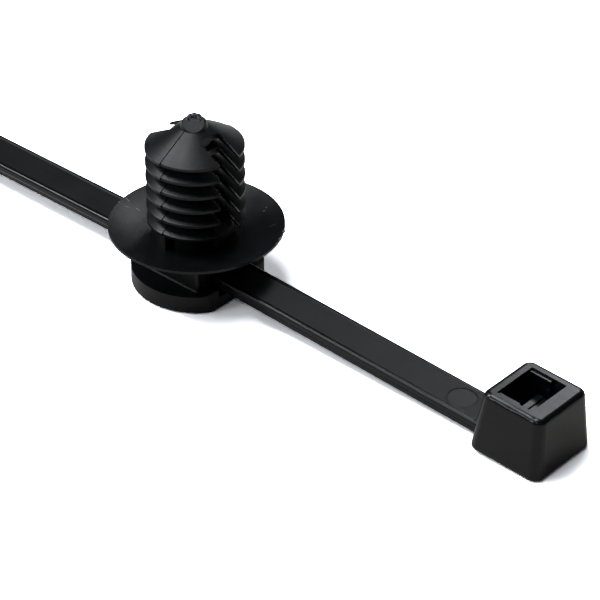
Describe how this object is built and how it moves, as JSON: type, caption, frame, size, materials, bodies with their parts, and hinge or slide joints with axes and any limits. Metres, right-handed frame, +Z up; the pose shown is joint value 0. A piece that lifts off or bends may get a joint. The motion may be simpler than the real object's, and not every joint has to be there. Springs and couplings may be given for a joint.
{
  "type": "fir tree cable tie",
  "caption": "Black nylon cable tie with a square locking head and a fir tree panel mount threaded on its strap.",
  "frame": {"origin": "middle of the foot plate's underside, on the fir tree's axis", "axes": "+X along the strap towards the head, +Z up the fir tree"},
  "size_m": [0.1592, 0.019, 0.0199],
  "materials": {
    "strap_nylon": "satin black, smooth moulded nylon",
    "mount_nylon": "dull black, finely eroded mould finish"
  },
  "bodies": {
    "tie": {"tie_strap": "strap_nylon"},
    "mount": {"fir_tree_mount": "mount_nylon"}
  },
  "joints": [
    {"name": "mount_slide", "type": "slide", "parent": "tie", "child": "mount", "axis": [1, 0, 0], "range_m": [-0.065, 0]}
  ]
}
